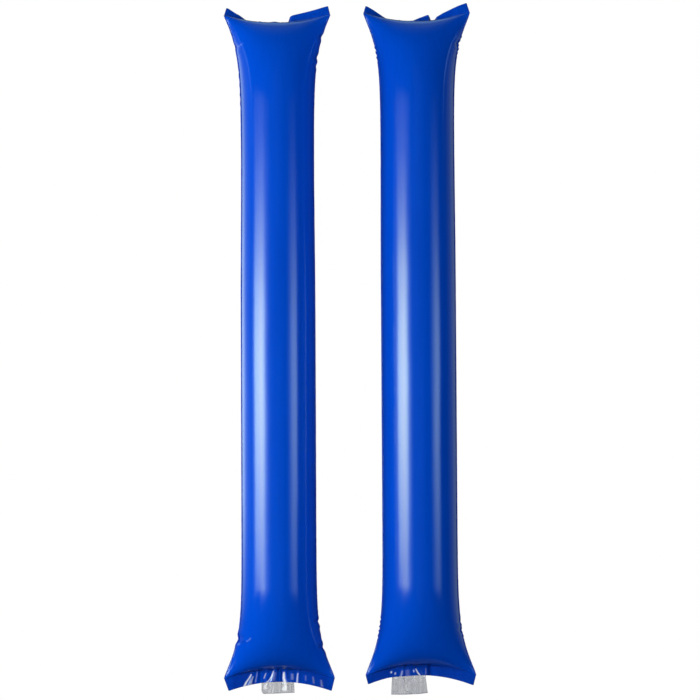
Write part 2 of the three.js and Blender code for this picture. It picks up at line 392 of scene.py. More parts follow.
def seam_shift(st, end_name, side, d):
    """(inward step, lift) of a side seam at each distance from the weld's corner."""
    step = np.zeros_like(d)
    lift = np.zeros_like(d)
    for e, s, d0, a, w, _ in st["buckles"]:
        if e == end_name and s == side:
            q = (d - d0) / w
            step = step + a * np.exp(-(q ** 2)) - 0.35 * a * np.exp(-((q - 1.9) ** 2)) - 0.35 * a * np.exp(-((q + 1.9) ** 2))
            lift = lift - 1.0 * a * q * np.exp(-(q ** 2))
    for e, s, a0, a1, wave, h, _ in st["ripples"]:
        if e == end_name and s == side:
            env = smooth((d - a0) / 5.0) * (1 - smooth((d - a1 + 5.0) / 5.0))
            step = step + h * env * (np.sin(2 * np.pi * d / wave) + 0.35 * np.sin(4 * np.pi * d / wave + 1.0))
            lift = lift + 1.3 * h * env * np.sin(2 * np.pi * d / wave + 1.2)
    return step, lift


def dimple_field(st, sign, end_name, d, x, a):
    """Depth of the small dents beside the seams, along the surface's normal, at each point of a row."""
    depth = np.zeros_like(x)
    for e, s, d0, h, w, reach in st["buckles"]:
        if e != end_name:
            continue
        back = 0.7 if sign < 0 else 1.0
        arc = np.maximum(0, a - s * x)
        q = (d - d0) / (w * 1.25)
        body = np.exp(-(q ** 2)) * np.exp(-((arc / (0.62 * reach)) ** 2))
        # the raised crescent round the dent
        rad = np.sqrt((arc / reach) ** 2 + (q / 1.5) ** 2)
        ring = np.exp(-(((rad - 1.0) / 0.28) ** 2)) * (1 - smooth((arc - 1.3 * reach) / 3.0))
        depth = depth + back * h * (-0.75 * body + 0.20 * ring)
    for e, s, a0, a1, wave, h, slant in st["ripples"]:
        if e != end_name:
            continue
        arc = np.maximum(0, a - s * x)
        env = smooth((d - a0) / 5.0) * (1 - smooth((d - a1 + 5.0) / 5.0))
        depth = depth + 0.9 * h * env * np.exp(-arc / 3.2) * np.sin(2 * np.pi * (d - slant * arc) / wave + (0.6 if sign < 0 else 0))
    return depth


def panel_grid(name, sign):
    """Outer and inner points of one film panel, each rows x columns x 3, in mm in the stick's frame, and per-point tags."""
    st = STICKS[name]
    rows = grid_rows(st)
    w = np.linspace(-1, 1, NC + 1)
    u = w - 0.35 * np.sin(np.pi * w) / np.pi
    bead = np.array([1.0, 0.62, 0.28]) * BEAD
    P, weld, seam = [], [], []
    for end, d, out in rows:
        en = "near" if end is st["near"] else "far"
        far = end["far"]
        a = float(half_width(st, end, d))
        e = float(roundness(d))
        b = 0.0 if (out > 0 or d == 0) else float(half_height(end, d))
        even = math.exp(-d / 30.0)
        x01 = (1 - even) * np.sin(u * np.pi / 2) + even * u
        x = a * x01
        prof = np.maximum(0.0, 1 - x01 ** 2)
        z = b * prof ** e
        share = float(bow_share(d))
        bow = end["bow"] * prof * share
        y = end["y"] - far * (d + bow)
        # side seam steps move the whole edge and fade over the first millimetres of the panel
        zz = np.zeros_like(x)
        for s in (-1, 1):
            st_in, st_up = seam_shift(st, en, s, np.array([d]))
            arc = np.maximum(0, a - s * x)
            fade = np.exp(-((arc / 3.4) ** 2))
            x = x - s * st_in[0] * fade
            zz = zz + st_up[0] * fade
        x = np.concatenate([[x[0] - t for t in bead], x, [x[-1] + t for t in bead[::-1]]])
        yb0, yb1 = y[0], y[-1]
        y = np.concatenate([[yb0] * 3, y, [yb1] * 3])
        z = np.concatenate([[0.0] * 3, z, [0.0] * 3])
        zz = np.concatenate([[zz[0]] * 3, zz, [zz[-1]] * 3])
        xs = np.clip(x / (a + 1e-9), -1, 1)
        # bead: a slightly wavy trimmed flange
        if out == 0:
            wav = 0.16 * value_noise(d + 37 * far, st["seed"], 9.0) + 0.07 * value_noise(d, st["seed"] + 1, 2.7)
            for s, cols in ((-1, (0, 1, 2)), (1, (-1, -2, -3))):
                for k, c in enumerate(cols):
                    w = (1.0, 0.62, 0.28)[k]
                    zz[c] += w * wav * (1 if s > 0 else -1)
                    x[c] += s * 0.05 * w * value_noise(d * 1.3, st["seed"] + 5 + s, 1.9)
        # weld
        slope, n, width = weld_run(end, x)
        if out > 0 or d == 0:
            if far < 0:
                run, drop = out * width, np.zeros_like(x)
                # the whole band sags a little away from the tube and curls at its corners
                zz = zz + weld_lift(st, x, np.full_like(x, out))
            else:
                run, drop = far_fold(st, x, out)
                zz = zz + 0.10 * noise2(x, out * np.ones_like(x), st["seed"] + 9, 5.0, 4.0) * smooth(out / 2.0)
            x = x - (slope / n) * run
            y = y + far * run / n
            zz = zz - drop
        P.append(np.stack([x, y, z * sign + zz], 1))
        weld.append(np.full(len(x), out if (out > 0 or d == 0) else -max(0.01, d)))
        tag = np.zeros(len(x))
        tag[:3] = 1
        tag[-3:] = 1
        seam.append(tag)
    P = np.array(P)
    D = np.array([(d if out == 0 else 0.0) for _, d, out in rows])
    OUT = np.array([out for _, _, out in rows])
    ENDS = np.array([0 if end is st["near"] else 1 for end, _, _ in rows])
    # normals of the smooth surface
    N = grid_normals(P, sign)
    m, n = P.shape[:2]
    disp = np.zeros((m, n))
    upward = np.zeros((m, 1, 1))  # share of the displacement that goes straight up or down
    edge = np.zeros((m, n))
    for j in range(m):
        end = st["near"] if ENDS[j] == 0 else st["far"]
        en = "near" if ENDS[j] == 0 else "far"
        if OUT[j] > 0:
            continue
        d = D[j]
        x = P[j, 3:-3, 0]
        a = float(half_width(st, end, d))
        run = 70.0 * math.asin(min(1.0, float(half_height(end, d)) / R)) / 1.3  # about the arc up from the weld
        row = dimple_field(st, sign, en, d, x, a)
        if en == "near":
            pl = pleat_field(st, x, np.full_like(x, -run))
            row = row + pl * (0.95 if sign > 0 else -0.35) * smooth(run / 0.8)
            upward[j] = math.exp(-((run / 3.0) ** 2))
        else:
            for x0, h, w in st["puckers"]:
                row = row - (1 if sign > 0 else -0.6) * h * np.exp(-(((x - x0) / (w * (1 + run / 9.0))) ** 2)) * math.exp(-run / 5.0) * float(smooth(run / 0.6 + 0.3))
        # slow undulations of blown film, and a fine grain of handling marks
        body = smooth((a - np.abs(x)) / 6.0)
        yy = P[j, 3:-3, 1]
        row = row + 0.10 * noise2(x + 200 * sign, yy, st["seed"] + 20, 19.0, 95.0) * body
        row = row + 0.035 * noise2(x - 90 * sign, yy, st["seed"] + 21, 8.0, 30.0) * body
        disp[j, 3:-3] = row
    P = P + (N * (1 - upward) + np.array([0.0, 0.0, sign]) * upward) * disp[..., None]
    # radial thickening for the film, and the flat weld
    N = grid_normals(P, sign)
    flat = (OUT[:, None] > 0) | (D[:, None] == 0) & (np.ones((m, n), bool))
    flat = flat | (np.arange(n)[None, :] < 3) | (np.arange(n)[None, :] >= n - 3)
    lift = GAP + FILM
    outer = P.copy()
    inner = P.copy()
    outer = outer + N * lift
    inner = inner + N * GAP
    # where the tube rests, it is flat against the floor
    floor = -STICKS[name]["at"][2] + 0.05
    if sign < 0:
        low = outer[..., 2] < floor
        outer[..., 2] = np.where(low, floor + 0.02 * (floor - outer[..., 2]) * 0, outer[..., 2])
        inner[..., 2] = np.maximum(inner[..., 2], floor + FILM)
    run_in = np.where(OUT > 0, OUT, -0.9 * D)[:, None]
    tags = dict(
        painted_glint_shade=np.where((ENDS == 0)[:, None], painted_glint_shade_field(st["marks"], P[..., 0], run_in), painted_glint_shade_field(st["far_marks"], P[..., 0], run_in)),
        root=np.where(((ENDS == 0) & (OUT == 0))[:, None], np.exp(-D[:, None] / 2.5), 0.0) * np.ones((1, n)),
        deep=np.where(((ENDS == 0) & (OUT > 0))[:, None], np.interp(P[..., 0], st["deep"][0], st["deep"][1]), 0.0),
        weld=np.repeat(np.where(OUT > 0, OUT / 10.0, -D / 100.0)[:, None], n, 1),
        seam=np.array(seam),
    )
    return outer, inner, tags


def grid_normals(P, sign):
    du = np.zeros_like(P)
    dv = np.zeros_like(P)
    du[:, 1:-1] = P[:, 2:] - P[:, :-2]
    du[:, 0] = P[:, 1] - P[:, 0]
    du[:, -1] = P[:, -1] - P[:, -2]
    dv[1:-1] = P[2:] - P[:-2]
    dv[0] = P[1] - P[0]
    dv[-1] = P[-1] - P[-2]
    N = np.cross(du, dv)
    N /= np.maximum(np.linalg.norm(N, axis=-1, keepdims=True), 1e-12)
    return N * sign


def to_world(name, P):
    st = STICKS[name]
    t = math.radians(st["turn"])
    c, s = math.cos(t), math.sin(t)
    x = P[..., 0] * c - P[..., 1] * s + st["at"][0]
    y = P[..., 0] * s + P[..., 1] * c + st["at"][1]
    z = P[..., 2] + st["at"][2]
    return np.stack([x, y, z], -1) / 1000.0


def shell_mesh(name, outer, inner, flip, attrs, material):
    """Closed thin shell from two matching grids."""
    m, n = outer.shape[:2]
    V = np.concatenate([outer.reshape(-1, 3), inner.reshape(-1, 3)])
    j, i = np.meshgrid(np.arange(m - 1), np.arange(n - 1), indexing="ij")
    o = (j * n + i).ravel()
    F = [np.stack([o, o + 1, o + n + 1, o + n], 1)]
    q = o + m * n
    F.append(np.stack([q, q + n, q + n + 1, q + 1], 1))
    rim = []
    for i in range(n - 1):
        rim.append((i, m * n + i, m * n + i + 1, i + 1))
        k = (m - 1) * n + i
        rim.append((k + 1, m * n + k + 1, m * n + k, k))
    for j in range(m - 1):
        k = j * n
        rim.append((k + n, m * n + k + n, m * n + k, k))
        k = j * n + n - 1
        rim.append((k, m * n + k, m * n + k + n, k + n))
    F.append(np.array(rim))
    F = np.concatenate(F)
    if flip:
        F = F[:, ::-1]
    me = bpy.data.meshes.new(name)
    me.vertices.add(len(V))
    me.vertices.foreach_set("co", V.astype(np.float32).ravel())
    me.loops.add(F.size)
    me.loops.foreach_set("vertex_index", F.astype(np.int32).ravel())
    me.polygons.add(len(F))
    me.polygons.foreach_set("loop_start", np.arange(0, F.size, 4, dtype=np.int32))
    me.update(calc_edges=True)
    me.validate()
    me.polygons.foreach_set("use_smooth", np.ones(len(me.polygons), bool))
    for key, grid in attrs.items():
        at = me.attributes.new(key, "FLOAT", "POINT")
        at.data.foreach_set("value", np.concatenate([grid.ravel(), grid.ravel()]).astype(np.float32))
    ob = bpy.data.objects.new(name, me)
    bpy.context.scene.collection.objects.link(ob)
    me.materials.append(material)
    return ob


# ------------------------------------------------------------------ materials
class Nodes:
    def __init__(self, name):
        self.mat = bpy.data.materials.new(name)
        self.mat.use_nodes = True
        self.t = self.mat.node_tree
        self.t.nodes.clear()
        self.out = self.t.nodes.new("ShaderNodeOutputMaterial")

    def add(self, kind, **kw):
        n = self.t.nodes.new(kind)
        for k, v in kw.items():
            if k.startswith("in_"):
                n.inputs[k[3:].replace("_", " ")].default_value = v
            else:
                setattr(n, k, v)
        return n

    def link(self, a, b):
        self.t.links.new(a, b)

    def math(self, op, a, b=None, c=None, clamp=False):
        n = self.t.nodes.new("ShaderNodeMath")
        n.operation = op
        n.use_clamp = clamp
        for k, v in enumerate((a, b, c)):
            if v is None:
                continue
            if isinstance(v, (int, float)):
                n.inputs[k].default_value = v
            else:
                self.link(v, n.inputs[k])
        return n.outputs[0]

    def noise(self, vector, scale, detail=3.0, rough=0.5, distortion=0.0):
        n = self.add("ShaderNodeTexNoise")
        n.inputs["Scale"].default_value = scale
        n.inputs["Detail"].default_value = detail
        n.inputs["Roughness"].default_value = rough
        n.inputs["Distortion"].default_value = distortion
        self.link(vector, n.inputs["Vector"])
        return n.outputs["Fac"]

    def mapped(self, scale):
        c = self.add("ShaderNodeTexCoord")
        m = self.add("ShaderNodeMapping")
        m.inputs["Scale"].default_value = scale
        self.link(c.outputs["Object"], m.inputs["Vector"])
        return m.outputs["Vector"]

    def ramp(self, fac, stops):
        n = self.t.nodes.new("ShaderNodeValToRGB")
        r = n.color_ramp
        while len(r.elements) > 1:
            r.elements.remove(r.elements[-1])
        r.elements[0].position, r.elements[0].color = stops[0]
        for pos, col in stops[1:]:
            el = r.elements.new(pos)
            el.color = col
        self.link(fac, n.inputs["Fac"])
        return n.outputs["Color"]

    def attr(self, name):
        n = self.add("ShaderNodeAttribute", attribute_name=name)
        return n.outputs["Fac"]


def blue_film(name, painted_shade_factor=1.0):
    m = Nodes(name)
    p = m.add("ShaderNodeBsdfPrincipled")
    p.inputs["IOR"].default_value = 1.5
    p.inputs["Specular IOR Level"].default_value = 0.5
    weld = m.attr("weld")
    seam = m.attr("seam")
    painted_glint_shade = m.attr("painted_glint_shade")
    along = m.mapped((260.0, 7.0, 260.0))  # streaks drawn out along the stick, as extruded film has
    streak = m.noise(along, 1.0, 4.0, 0.6)
    cloud = m.noise(m.mapped((16.0, 9.0, 16.0)), 1.0, 2.0, 0.5)
    mottled = m.noise(m.mapped((420.0, 420.0, 420.0)), 1.0, 3.0, 0.6)
    # colour: pigment varies with the film's thickness
    f = m.math("ADD", m.math("MULTIPLY", streak, 0.5), m.math("MULTIPLY", cloud, 0.5))
    col = m.ramp(f, [(0.30, (0.0, 0.066 * painted_shade_factor, 0.590 * painted_shade_factor, 1)), (0.70, (0.0003, 0.076 * painted_shade_factor, 0.650 * painted_shade_factor, 1))])
    # fused film is doubled, so it is a little deeper
    inweld = m.math("GREATER_THAN", m.math("MAXIMUM", weld, m.math("MULTIPLY", seam, 0.02)), 0.001)
    deep = m.ramp(mottled, [(0.3, (0.0, 0.052 * painted_shade_factor, 0.50 * painted_shade_factor, 1)), (0.7, (0.002, 0.072 * painted_shade_factor, 0.61 * painted_shade_factor, 1))])

    def mix(fac, a, b):
        n = m.add("ShaderNodeMix", data_type="RGBA")
        ins = [i for i in n.inputs if i.enabled]
        for k, v in ((0, fac), (1, a), (2, b)):
            if isinstance(v, tuple):
                ins[k].default_value = v
            else:
                m.link(v, ins[k])
        return [o for o in n.outputs if o.enabled][0]

    colour = mix(inweld, col, deep)
    bars_grain = m.noise(m.mapped((900.0, 110.0, 300.0)), 1.0, 3.0, 0.6)
    depth = m.math("MULTIPLY", m.attr("deep"), m.math("ADD", 0.25, m.math("MULTIPLY", bars_grain, 1.3)), clamp=True)
    colour = mix(m.math("MULTIPLY", depth, 0.75), colour, (0.0, 0.024, 0.27, 1))
    colour = mix(m.math("MULTIPLY", seam, 0.55), colour, (0.0, 0.026, 0.30, 1))
    # painted shade in the folds, darker where the film also lies doubled over
    dark = m.math("MULTIPLY", m.math("MAXIMUM", m.math("MULTIPLY", painted_glint_shade, -1.0), 0.0), 0.85)
    colour = mix(dark, colour, (0.0, 0.012, 0.16, 1))
    # painted highlights on the creases, pale, in broken lines
    pale = m.math("MAXIMUM", painted_glint_shade, 0.0)
    broken = m.math("ADD", 0.86, m.math("MULTIPLY", mottled, 0.28))
    pale = m.math("MULTIPLY", pale, broken, clamp=True)
    colour = mix(pale, colour, mix(inweld, (0.30, 0.48, 0.95, 1), (0.88, 0.93, 0.98, 1)))
    m.link(colour, p.inputs["Base Color"])
    # roughness
    rough = m.math("ADD", m.math("MULTIPLY", streak, 0.04), 0.06)
    rough = m.math("ADD", rough, m.math("MULTIPLY", cloud, 0.02))
    rough = m.math("ADD", rough, m.math("MULTIPLY", seam, 0.22))
    rough = m.math("ADD", rough, m.math("MULTIPLY", m.attr("root"), 0.30))
    m.link(rough, p.inputs["Roughness"])
    # bump: die lines along the film, faint orange peel, and the grain that the sealing bar leaves
    h = m.math("ADD", m.math("MULTIPLY", streak, 0.30), m.math("MULTIPLY", m.noise(m.mapped((150.0, 60.0, 150.0)), 1.0, 2.0, 0.5), 0.5))
    bars = m.add("ShaderNodeTexWave", wave_type="BANDS", bands_direction="Y")
    bars.inputs["Scale"].default_value = 210.0
    bars.inputs["Distortion"].default_value = 1.2
    bars.inputs["Detail"].default_value = 1.0
    m.link(m.mapped((1.0, 1.0, 1.0)), bars.inputs["Vector"])
    h = m.math("ADD", h, m.math("MULTIPLY", m.math("MULTIPLY", bars.outputs["Fac"], inweld), 0.35))
    h = m.math("ADD", h, m.math("MULTIPLY", m.math("MULTIPLY", mottled, inweld), 0.8))
    bump = m.add("ShaderNodeBump")
    bump.inputs["Strength"].default_value = 0.35
    bump.inputs["Distance"].default_value = 0.00005
    m.link(h, bump.inputs["Height"])
    m.link(bump.outputs["Normal"], p.inputs["Normal"])
    m.link(p.outputs["BSDF"], m.out.inputs["Surface"])
    return m.mat


def clear_film(name, base, rib, low, mid):
    m = Nodes(name)
    p = m.add("ShaderNodeBsdfPrincipled")
    p.inputs["IOR"].default_value = 1.5
    p.inputs["Specular IOR Level"].default_value = 0.7
    edge = m.attr("edge")
    painted_glint_shade = m.attr("painted_glint_shade")
    ribs = m.noise(m.mapped((620.0, 22.0, 620.0)), 1.0, 2.0, 0.5)
    haze = m.noise(m.mapped((120.0, 60.0, 120.0)), 1.0, 2.0, 0.5)
    # painted highlights whiten the film and make it more opaque; painted fold shade makes it more opaque, so greyer
    pale = m.math("MAXIMUM", painted_glint_shade, 0.0)
    dark = m.math("MAXIMUM", m.math("MULTIPLY", painted_glint_shade, -1.0), 0.0)
    f = m.math("ADD", m.math("MULTIPLY", haze, 0.6), m.math("MULTIPLY", pale, 1.0), clamp=True)
    col = m.ramp(f, [(0.15, low), (0.45, mid), (1.0, (0.95, 0.97, 1.0, 1))])
    m.link(col, p.inputs["Base Color"])
    a = m.math("ADD", m.math("MULTIPLY", ribs, rib), base)
    a = m.math("ADD", a, m.math("MULTIPLY", edge, 0.22))
    a = m.math("ADD", a, m.math("MULTIPLY", dark, 0.25))
    a = m.math("ADD", a, m.math("MULTIPLY", pale, 0.5), clamp=True)
    m.link(a, p.inputs["Alpha"])
    m.link(m.math("ADD", m.math("MULTIPLY", haze, 0.12), 0.08), p.inputs["Roughness"])
    bump = m.add("ShaderNodeBump")
    bump.inputs["Strength"].default_value = 0.2
    bump.inputs["Distance"].default_value = 0.0001
    m.link(ribs, bump.inputs["Height"])
    m.link(bump.outputs["Normal"], p.inputs["Normal"])
    m.link(p.outputs["BSDF"], m.out.inputs["Surface"])
    return m.mat


# the right stick's film is painted 3% darker than the left one's, as painted shade
BLUE = {"left": blue_film("blue_film_left", 1.0), "right": blue_film("blue_film_right", 0.97)}
CLEAR = {
    "left": clear_film("clear_valve_film_left", 0.15, 0.22, (0.30, 0.31, 0.36, 1), (0.45, 0.465, 0.52, 1)),
    "right": clear_film("clear_valve_film_right", 0.20, 0.13, (0.27, 0.29, 0.37, 1), (0.38, 0.405, 0.47, 1)),
}
SEEN = {"left": [], "right": []}  # what each stick's own lights shine on

# ------------------------------------------------------------------ panels
for name in STICKS:
    for face, sign in (("front", 1), ("back", -1)):
        outer, inner, tags = panel_grid(name, sign)
        ob = shell_mesh(f"{name}_{face}_film", to_world(name, outer), to_world(name, inner), sign < 0, tags, BLUE[name])
        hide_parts(f"{name}_{face}_panel")
        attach(ob, f"{name}_stick")
        SEEN[name].append(ob)


# ------------------------------------------------------------------ valve films
def weld_root(st, x):
    """y of the weld's inner line."""
    end = st["near"]
    return end["y"] + end["bow"] * (1 - (x / end["corner"]) ** 2)


def weld_edge(st, x):
    _, n, width = weld_run(st["near"], x)
    return weld_root(st, x) - st["near"]["fin"] * width / n


def hinge_y(st):
    xs = st["valve"]["x"] + np.linspace(-1, 1, 5) * VALVE_WIDTH / 2
    return min(weld_edge(st, x) for x in xs) - 0.7


def valve_piece(name, face, part):
    """One valve film, as a crinkled strip. The pleats of the weld run on into it."""
    st = STICKS[name]
    sign = 1 if face == "front" else -1
    hinge = hinge_y(st)
    fin = st["near"]["fin"]
    root = st["near"]["y"] + st["near"]["bow"]
    x0, x1 = st["valve"]["w"]
    nx = 130
    # the films bend in the short stretch below the weld; the front one is cut at the end of it,
    # where it can be peeled open, the back one at its start, and both have the same rows there
    bend = np.linspace(hinge - 1.2, hinge + 0.5, 7)
    inside = np.linspace(hinge + 0.6, root + 62.0, 111)
    outside = np.linspace(hinge - st["valve"]["out"], hinge - 1.2, 43)
    if part == "lip" and face == "front":
        ys = np.append(outside[:-1], hinge - 1.26)
    elif part == "lip":
        ys = np.append(outside[:-1], bend)
    elif face == "front":
        ys = np.append(bend, inside)
    else:
        ys = inside
    ny = len(ys) - 1
    u = np.linspace(0, 1, nx + 1)
    P = np.zeros((ny + 1, nx + 1, 3))
    marks = np.zeros(P.shape[:2])
    for j, y in enumerate(ys):
        out = hinge - y
        xa, xb = x0, x1
        k = max(0.0, out) / st["valve"]["out"]
        if y < hinge + 0.55:
            if name == "left":
                # the lower left corner is rounded
                r = 2.8
                low = st["valve"]["out"] - out
                if low < r:
                    xa = x0 + r - math.sqrt(max(0.0, r * r - (r - low) ** 2))
                xb = x1 + 0.3 * k
            else:
                xa, xb = x0 - 0.7 * k, x1 + 1.6 * k
        x = xa + (xb - xa) * u
        yy = np.full_like(x, y)
        xr, v = weld_place(st, x, yy)  # v is the distance out from the weld's inner line
        past = np.maximum(v - fin, 0)
        if y < hinge + 0.55:
            z = weld_lift(st, xr, np.minimum(v, fin)) * np.exp(-past / (9.0 if name == "left" else 10.0)) - 0.035 * past
            fine = 0.10 * np.sin(x * 2 * np.pi / 1.5 + 0.5 * noise2(x, yy, 5, 4, 6)) * smooth(out / 3.0)
            band = np.exp(-(((x - (-1.5 if name == "left" else -17.0)) / (6.0 if name == "left" else 4.0)) ** 2))
            z = z + fine * band
            z = z + (0.45 if face == "front" else 0.30) * noise2(x, yy, 31 + sign, 6.5, 16.0) * smooth(out / 6.0)
            z = z + sign * smooth((out - 1.5) / 6.0) * 0.45 * (1 - ((2 * u - 1) ** 4)) * (0.9 if name == "left" else 1.1)
            yy = yy - (0.5 if name == "right" else 0.3) * noise2(x, yy, 77, 9.0, 40.0) * smooth((out - 5.0) / 6.0)
            if name == "right":
                z = z - 1.0 * k ** 2
                yy = yy - 0.8 * (np.sin(np.pi * u) ** 1.2) * smooth((out - 9.0) / 7.0) + 1.3 * smooth((out - 9.0) / 7.0) * u
            else:
                yy = yy + 1.0 * u * smooth((out - 4.0) / 6.0)
            marks[j] = painted_glint_shade_field(st["tab_marks"], xr, v)
        else:
            z = np.where(v > 0, weld_lift(st, xr, np.clip(v, 0, fin)), weld_lift(st, xr, np.zeros_like(x)) * np.exp(np.minimum(v, 0) / 1.2))
            free = smooth((y - root - 3.0) / 20.0)
            z = z + free * (0.8 * noise2(x, yy, 41 + sign, 9.0, 22.0) + sign * 1.2 * (1 - (2 * u - 1) ** 2))
            marks[j] = painted_glint_shade_field(st["tab_marks"], xr, v)
        P[j, :, 0], P[j, :, 1], P[j, :, 2] = x, yy, z
    N = grid_normals(P, 1)
    near_face = 0.010
    if sign > 0:
        outer, inner = P + N * (near_face + VALVE_FILM), P + N * near_face
    else:
        outer, inner = P - N * near_face, P - N * (near_face + VALVE_FILM)
    # inside the weld the four films are fused and pressed thin
    fused = (1 - smooth((P[..., 1:2] - root) / 1.5)) * (1 - smooth((weld_edge(st, P[..., 0:1]) - P[..., 1:2] - 0.1) / 0.8))
    squeeze = 1 - 0.80 * fused
    outer = P + (outer - P) * squeeze
    inner = P + (inner - P) * squeeze
    e = np.zeros(P.shape[:2])
    if part == "lip":
        wide = 1.1
        e = np.maximum(e, 1 - smooth((P[..., 1] - P[:1, :, 1]) / wide))
        e = np.maximum(e, 0.7 * (1 - smooth((P[..., 0] - P[:, :1, 0]) / 0.8)))
        e = np.maximum(e, 0.7 * (1 - smooth((P[:, -1:, 0] - P[..., 0]) / 0.8)))
    attrs = dict(edge=e, painted_glint_shade=marks)
    return shell_mesh(f"{name}_valve_{face}_{part}_film", to_world(name, outer), to_world(name, inner), False, attrs, CLEAR[name])


for name in STICKS:
    for face in ("front", "back"):
        for part in ("tail", "lip"):
            ob = valve_piece(name, face, part)
            SEEN[name].append(ob)
            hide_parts(f"{name}_valve_{face}_{part}")
            if (face, part) == ("back", "tail"):
                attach(ob, f"{name}_stick")
            elif (face, part) == ("front", "lip"):
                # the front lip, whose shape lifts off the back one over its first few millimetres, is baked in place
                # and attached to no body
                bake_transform(ob)
            else:
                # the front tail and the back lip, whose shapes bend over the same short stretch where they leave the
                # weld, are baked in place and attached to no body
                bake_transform(ob)

# ------------------------------------------------------------------ camera
scene = bpy.context.scene
cam_data = bpy.data.cameras.new("camera")
cam = bpy.data.objects.new("camera", cam_data)
scene.collection.objects.link(cam)
cam_data.sensor_width = 36.0
DIST, ELEV = 3.0, math.radians(88.0)
TARGET = Vector((0.0, -0.0005, 0.0310))
cam.location = TARGET + Vector((0, -math.cos(ELEV), math.sin(ELEV))) * DIST
cam.rotation_euler = (TARGET - cam.location).to_track_quat("-Z", "Y").to_euler()
cam_data.lens = 36.0 / (0.6022 / DIST)
cam_data.clip_start, cam_data.clip_end = 0.1, 50
scene.camera = cam

# ------------------------------------------------------------------ stage and light
scene.view_settings.view_transform = "Standard"
scene.view_settings.look = "None"
world = bpy.data.worlds.new("studio")
scene.world = world
world.use_nodes = True
world.node_tree.nodes["Background"].inputs["Color"].default_value = (1, 1, 1, 1)
world.node_tree.nodes["Background"].inputs["Strength"].default_value = 1.0
world.cycles_visibility.camera = True
world.cycles_visibility.diffuse = False
world.cycles_visibility.glossy = False
world.cycles_visibility.transmission = False
world.cycles_visibility.scatter = False

LIT = {}
for name in STICKS:
    LIT[name] = bpy.data.collections.new(f"lit_{name}")
    for ob in SEEN[name]:
        LIT[name].objects.link(ob)


def only(ob, **rays):
    for k in ("camera", "diffuse", "glossy", "transmission", "volume_scatter", "shadow"):
        setattr(ob, "visible_" + k, rays.get(k, False))


def stage_mesh(name, verts, faces, material, place=(0, 0, 0)):
    me = bpy.data.meshes.new(name)
    me.from_pydata(verts, [], faces)
    me.materials.append(material)
    ob = bpy.data.objects.new(name, me)
    scene.collection.objects.link(ob)
    ob.location = place
    return ob


def profile(m, t, lo, hi, stops, top):
    """Colour along one coordinate: stops of (coordinate, level) or (coordinate, (r, g, b))."""
    fac = m.math("DIVIDE", m.math("SUBTRACT", t, lo), hi - lo, clamp=True)
    out = []
    for at, level in stops:
        c = level if isinstance(level, tuple) else (level, level, level)
        out.append(((at - lo) / (hi - lo), (c[0] / top, c[1] / top, c[2] / top, 1)))
    return m.ramp(fac, out)


def emitter(name, build, see_through=True):
    m = Nodes(name)
    e = m.add("ShaderNodeEmission")
    c = m.add("ShaderNodeTexCoord")
    s = m.add("ShaderNodeSeparateXYZ")
    m.link(c.outputs["Object"], s.inputs["Vector"])
    colour, strength = build(m, s.outputs["X"], s.outputs["Y"], s.outputs["Z"])
    m.link(colour, e.inputs["Color"])
    m.link(strength, e.inputs["Strength"])
    surface = e.outputs[0]
    if see_through:
        t = m.add("ShaderNodeBsdfTransparent")
        a = m.add("ShaderNodeAddShader")
        m.link(t.outputs[0], a.inputs[0])
        m.link(surface, a.inputs[1])
        surface = a.outputs[0]
    m.link(surface, m.out.inputs["Surface"])
    return m.mat


def tint(level):
    """Lamp colour at a level: brighter parts of the lamp are warmer."""
    r = level
    g = level * float(np.interp(level, [0.2, 0.6, 2.3, 8.7, 11.3], [1.9, 1.8, 1.45, 1.36, 1.17]))
    b = level * float(np.interp(level, [0.2, 0.6, 2.3, 5.0, 8.7, 11.3], [1.8, 1.6, 1.32, 1.15, 1.0, 0.66]))
    return (r, g, b)


# The soft boxes that show in the film, as a drum of light round each stick. The level depends on
# the angle from straight up, in degrees, left negative, and on the place along the stick.
ROUND = {
    "left": [(-104, 0.22), (-90, 0.25), (-86, 0.6), (-82, 1.7), (-77, 6.0), (-73, 8.6), (-67, 9.6), (-60, 12.0), (-53, 13.0),
             (-46, 9.4), (-39, 3.2), (-32, 0.5), (-25, 0.1), (-12, 0.02), (0, 0.0), (24, 0.0), (32, 0.2), (39, 0.95), (45, 2.1),
             (52, 2.6), (58, 2.1), (61, 1.2), (64, 0.15), (68, 0.0)],
    "right": [(-95, 0.0), (-88, 0.25), (-82, 0.5), (-77, 0.6), (-72, 2.8), (-68, 6.6), (-62, 9.8), (-54, 11.8), (-47, 12.8),
              (-40, 9.6), (-34, 3.6), (-27, 0.6), (-20, 0.08), (-10, 0.01), (0, 0.0), (30, 0.0), (37, 0.15), (44, 0.85),
              (51, 2.0), (58, 2.5), (65, 1.35), (70, 0.2), (74, 0.0)],
}
ALONG = [(-0.50, 0.0), (-0.42, 0.004), (-0.36, 0.015), (-0.31, 0.07), (-0.252, 0.30), (-0.206, 0.42), (-0.137, 0.675), (-0.07, 0.90),
         (-0.01, 1.0), (0.05, 0.94), (0.10, 0.74), (0.15, 0.43), (0.20, 0.23), (0.264, 0.075), (0.322, 0.02), (0.40, 0.0)]
DRUM = 1.0


